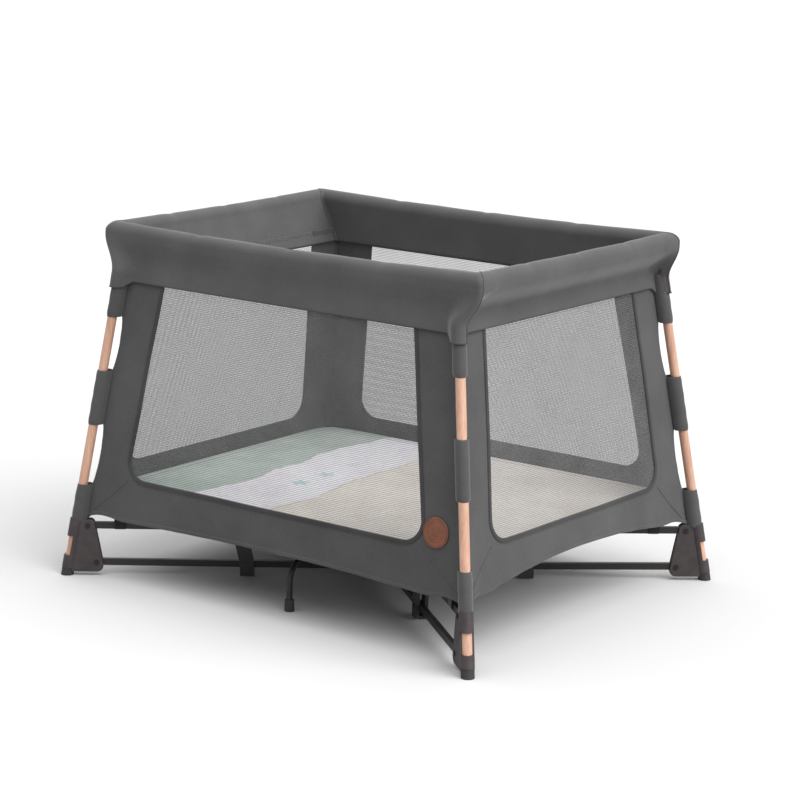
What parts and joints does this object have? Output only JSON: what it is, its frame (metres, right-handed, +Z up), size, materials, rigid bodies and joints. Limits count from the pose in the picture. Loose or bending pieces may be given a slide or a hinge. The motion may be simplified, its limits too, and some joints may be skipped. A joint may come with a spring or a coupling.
{
  "type": "playpen",
  "caption": "Folding playpen: four leaning wood-look legs, umbrella frame on a central hub, padded rim on folding rails, mesh-window fabric walls and a loose mattress.",
  "frame": {"origin": "on the floor under the centre of the playpen", "axes": "+X along the long side to the right, +Y to the rear, +Z up"},
  "size_m": [1.0806, 0.8806, 0.753],
  "materials": {
    "leg_tube": "wood-look film on aluminium tube, satin",
    "rubber": "matt",
    "bracket": "fine moulded grain, dark warm brown",
    "pins": "dark zinc",
    "arms": "satin powder coat, brown-black",
    "links": "fine moulded grain",
    "rails": "satin powder coat",
    "hub": "fine moulded grain",
    "handle": "smooth",
    "wall_fabric": "grey melange woven polyester with mesh windows",
    "rim_fabric": "grey melange woven polyester, padded",
    "floor_fabric": "woven polyester",
    "mattress_cover": "air mesh with a printed wave pattern",
    "patch_leather": "tan, embossed ring"
  },
  "bodies": {
    "leg_front_right": {"leg_tube_front_right": "leg_tube", "rubber_foot_front_right": "rubber", "foot_bracket_front_right": "bracket", "bracket_pins_front_right": "pins", "top_corner_front_right": "bracket", "wall_front_right": "wall_fabric", "rim_cover_front_right": "rim_fabric", "leather_patch": "patch_leather"},
    "hub": {"hub_body": "hub", "hub_cover": "hub", "hub_pins": "pins", "floor_panel": "floor_fabric"},
    "release": {"release_handle": "handle"},
    "mattress": {"mattress": "mattress_cover"},
    "support_front": {"support_arm_front": "arms", "support_foot_front": "rubber"},
    "support_rear": {"support_arm_rear": "arms", "support_foot_rear": "rubber"},
    "lower_arm_front_right": {"lower_arm_front_right": "arms"},
    "upper_arm_front_right": {"upper_arm_front_right": "arms"},
    "link_front_right": {"arm_link_front_right": "links"},
    "front_rail_right": {"front_rail_right": "rails"},
    "right_rail_front": {"right_rail_front": "rails"},
    "leg_front_left": {"leg_tube_front_left": "leg_tube", "rubber_foot_front_left": "rubber", "foot_bracket_front_left": "bracket", "bracket_pins_front_left": "pins", "top_corner_front_left": "bracket", "wall_front_left": "wall_fabric", "rim_cover_front_left": "rim_fabric"},
    "lower_arm_front_left": {"lower_arm_front_left": "arms"},
    "upper_arm_front_left": {"upper_arm_front_left": "arms"},
    "link_front_left": {"arm_link_front_left": "links"},
    "front_rail_left": {"front_rail_left": "rails"},
    "left_rail_front": {"left_rail_front": "rails"},
    "leg_rear_right": {"leg_tube_rear_right": "leg_tube", "rubber_foot_rear_right": "rubber", "foot_bracket_rear_right": "bracket", "bracket_pins_rear_right": "pins", "top_corner_rear_right": "bracket", "wall_rear_right": "wall_fabric", "rim_cover_rear_right": "rim_fabric"},
    "lower_arm_rear_right": {"lower_arm_rear_right": "arms"},
    "upper_arm_rear_right": {"upper_arm_rear_right": "arms"},
    "link_rear_right": {"arm_link_rear_right": "links"},
    "rear_rail_right": {"rear_rail_right": "rails"},
    "right_rail_rear": {"right_rail_rear": "rails"},
    "leg_rear_left": {"leg_tube_rear_left": "leg_tube", "rubber_foot_rear_left": "rubber", "foot_bracket_rear_left": "bracket", "bracket_pins_rear_left": "pins", "top_corner_rear_left": "bracket", "wall_rear_left": "wall_fabric", "rim_cover_rear_left": "rim_fabric"},
    "lower_arm_rear_left": {"lower_arm_rear_left": "arms"},
    "upper_arm_rear_left": {"upper_arm_rear_left": "arms"},
    "link_rear_left": {"arm_link_rear_left": "links"},
    "rear_rail_left": {"rear_rail_left": "rails"},
    "left_rail_rear": {"left_rail_rear": "rails"}
  },
  "joints": [
    {"name": "fold", "type": "hinge", "parent": "leg_front_right", "child": "lower_arm_front_right", "pos_m": [0.47784, -0.38717, 0.0285], "axis": [0.6295, 0.777, 0], "range_deg": [0, 74], "deforming": ["wall_front_right", "rim_cover_front_right", "wall_front_left", "rim_cover_front_left", "wall_rear_right", "rim_cover_rear_right", "wall_rear_left", "rim_cover_rear_left", "leather_patch", "floor_panel", "mattress"]},
    {"name": "hub_hinge_front_right", "type": "hinge", "parent": "lower_arm_front_right", "child": "hub", "pos_m": [0.04662, -0.03777, 0.025], "axis": [0.6295, 0.777, 0], "range_deg": [-74.5, 0]},
    {"name": "upper_arm_hinge_front_right", "type": "hinge", "parent": "hub", "child": "upper_arm_front_right", "pos_m": [0.0606, -0.0491, 0.105], "axis": [0.6295, 0.777, 0], "range_deg": [0, 74.5]},
    {"name": "link_hinge_front_right", "type": "hinge", "parent": "lower_arm_front_right", "child": "link_front_right", "pos_m": [0.23076, -0.18697, 0.0265], "axis": [0.6295, 0.777, 0], "range_deg": [-74.5, 0]},
    {"name": "front_rail_right_hinge", "type": "hinge", "parent": "leg_front_right", "child": "front_rail_right", "pos_m": [0.405, -0.333, 0.733], "axis": [0, -1, 0], "range_deg": [0, 78.42]},
    {"name": "right_rail_front_hinge", "type": "hinge", "parent": "leg_front_right", "child": "right_rail_front", "pos_m": [0.461, -0.318, 0.733], "axis": [-1, 0, 0], "range_deg": [0, 80.23]},
    {"name": "lower_arm_hinge_front_left", "type": "hinge", "parent": "hub", "child": "lower_arm_front_left", "pos_m": [-0.04662, -0.03777, 0.025], "axis": [0.6295, -0.777, 0], "range_deg": [0, 74.5]},
    {"name": "upper_arm_hinge_front_left", "type": "hinge", "parent": "hub", "child": "upper_arm_front_left", "pos_m": [-0.0606, -0.0491, 0.105], "axis": [0.6295, -0.777, 0], "range_deg": [0, 74.5]},
    {"name": "bracket_hinge_front_left", "type": "hinge", "parent": "lower_arm_front_left", "child": "leg_front_left", "pos_m": [-0.47784, -0.38717, 0.0285], "axis": [0.6295, -0.777, 0], "range_deg": [-74.5, 0]},
    {"name": "link_hinge_front_left", "type": "hinge", "parent": "lower_arm_front_left", "child": "link_front_left", "pos_m": [-0.23076, -0.18697, 0.0265], "axis": [0.6295, -0.777, 0], "range_deg": [-74.5, 0]},
    {"name": "front_rail_left_hinge", "type": "hinge", "parent": "leg_front_left", "child": "front_rail_left", "pos_m": [-0.405, -0.333, 0.733], "axis": [0, 1, 0], "range_deg": [0, 78.42]},
    {"name": "left_rail_front_hinge", "type": "hinge", "parent": "leg_front_left", "child": "left_rail_front", "pos_m": [-0.461, -0.318, 0.733], "axis": [-1, 0, 0], "range_deg": [0, 80.23]},
    {"name": "lower_arm_hinge_rear_right", "type": "hinge", "parent": "hub", "child": "lower_arm_rear_right", "pos_m": [0.04662, 0.03777, 0.025], "axis": [-0.6295, 0.777, 0], "range_deg": [0, 74.5]},
    {"name": "upper_arm_hinge_rear_right", "type": "hinge", "parent": "hub", "child": "upper_arm_rear_right", "pos_m": [0.0606, 0.0491, 0.105], "axis": [-0.6295, 0.777, 0], "range_deg": [0, 74.5]},
    {"name": "bracket_hinge_rear_right", "type": "hinge", "parent": "lower_arm_rear_right", "child": "leg_rear_right", "pos_m": [0.47784, 0.38717, 0.0285], "axis": [-0.6295, 0.777, 0], "range_deg": [-74.5, 0]},
    {"name": "link_hinge_rear_right", "type": "hinge", "parent": "lower_arm_rear_right", "child": "link_rear_right", "pos_m": [0.23076, 0.18697, 0.0265], "axis": [-0.6295, 0.777, 0], "range_deg": [-74.5, 0]},
    {"name": "rear_rail_right_hinge", "type": "hinge", "parent": "leg_rear_right", "child": "rear_rail_right", "pos_m": [0.405, 0.333, 0.733], "axis": [0, -1, 0], "range_deg": [0, 78.42]},
    {"name": "right_rail_rear_hinge", "type": "hinge", "parent": "leg_rear_right", "child": "right_rail_rear", "pos_m": [0.461, 0.318, 0.733], "axis": [1, 0, 0], "range_deg": [0, 80.23]},
    {"name": "lower_arm_hinge_rear_left", "type": "hinge", "parent": "hub", "child": "lower_arm_rear_left", "pos_m": [-0.04662, 0.03777, 0.025], "axis": [-0.6295, -0.777, 0], "range_deg": [0, 74.5]},
    {"name": "upper_arm_hinge_rear_left", "type": "hinge", "parent": "hub", "child": "upper_arm_rear_left", "pos_m": [-0.0606, 0.0491, 0.105], "axis": [-0.6295, -0.777, 0], "range_deg": [0, 74.5]},
    {"name": "bracket_hinge_rear_left", "type": "hinge", "parent": "lower_arm_rear_left", "child": "leg_rear_left", "pos_m": [-0.47784, 0.38717, 0.0285], "axis": [-0.6295, -0.777, 0], "range_deg": [-74.5, 0]},
    {"name": "link_hinge_rear_left", "type": "hinge", "parent": "lower_arm_rear_left", "child": "link_rear_left", "pos_m": [-0.23076, 0.18697, 0.0265], "axis": [-0.6295, -0.777, 0], "range_deg": [-74.5, 0]},
    {"name": "rear_rail_left_hinge", "type": "hinge", "parent": "leg_rear_left", "child": "rear_rail_left", "pos_m": [-0.405, 0.333, 0.733], "axis": [0, 1, 0], "range_deg": [0, 78.42]},
    {"name": "left_rail_rear_hinge", "type": "hinge", "parent": "leg_rear_left", "child": "left_rail_rear", "pos_m": [-0.461, 0.318, 0.733], "axis": [1, 0, 0], "range_deg": [0, 80.23]},
    {"name": "support_hinge_front", "type": "hinge", "parent": "hub", "child": "support_front", "pos_m": [0, -0.072, 0.103], "axis": [1, 0, 0], "range_deg": [0, 79.5]},
    {"name": "support_hinge_rear", "type": "hinge", "parent": "hub", "child": "support_rear", "pos_m": [0, 0.072, 0.103], "axis": [-1, 0, 0], "range_deg": [0, 79.5]},
    {"name": "release_pull", "type": "slide", "parent": "hub", "child": "release", "axis": [0, 0, 1], "range_m": [0, 0.01], "stiffness_N_per_m": 400, "springref_m": -0.004},
    {"name": "mattress_lift", "type": "slide", "parent": "hub", "child": "mattress", "axis": [0, 0, 1], "range_m": [0, 0.101]}
  ],
  "couplings": [
    {"joint": "hub_hinge_front_right", "follows": "fold", "ratio": -1},
    {"joint": "upper_arm_hinge_front_right", "follows": "fold", "ratio": 1},
    {"joint": "link_hinge_front_right", "follows": "fold", "ratio": -1},
    {"joint": "front_rail_right_hinge", "follows": "fold", "ratio": 1.053},
    {"joint": "right_rail_front_hinge", "follows": "fold", "ratio": 1.0774},
    {"joint": "lower_arm_hinge_front_left", "follows": "fold", "ratio": 1},
    {"joint": "upper_arm_hinge_front_left", "follows": "fold", "ratio": 1},
    {"joint": "bracket_hinge_front_left", "follows": "fold", "ratio": -1},
    {"joint": "link_hinge_front_left", "follows": "fold", "ratio": -1},
    {"joint": "front_rail_left_hinge", "follows": "fold", "ratio": 1.053},
    {"joint": "left_rail_front_hinge", "follows": "fold", "ratio": 1.0774},
    {"joint": "lower_arm_hinge_rear_right", "follows": "fold", "ratio": 1},
    {"joint": "upper_arm_hinge_rear_right", "follows": "fold", "ratio": 1},
    {"joint": "bracket_hinge_rear_right", "follows": "fold", "ratio": -1},
    {"joint": "link_hinge_rear_right", "follows": "fold", "ratio": -1},
    {"joint": "rear_rail_right_hinge", "follows": "fold", "ratio": 1.053},
    {"joint": "right_rail_rear_hinge", "follows": "fold", "ratio": 1.0774},
    {"joint": "lower_arm_hinge_rear_left", "follows": "fold", "ratio": 1},
    {"joint": "upper_arm_hinge_rear_left", "follows": "fold", "ratio": 1},
    {"joint": "bracket_hinge_rear_left", "follows": "fold", "ratio": -1},
    {"joint": "link_hinge_rear_left", "follows": "fold", "ratio": -1},
    {"joint": "rear_rail_left_hinge", "follows": "fold", "ratio": 1.053},
    {"joint": "left_rail_rear_hinge", "follows": "fold", "ratio": 1.0774},
    {"joint": "support_hinge_front", "follows": "fold", "ratio": 1.0676},
    {"joint": "support_hinge_rear", "follows": "fold", "ratio": 1.0676},
    {"joint": "mattress_lift", "follows": "fold", "m_per_rad": 0.077427}
  ]
}
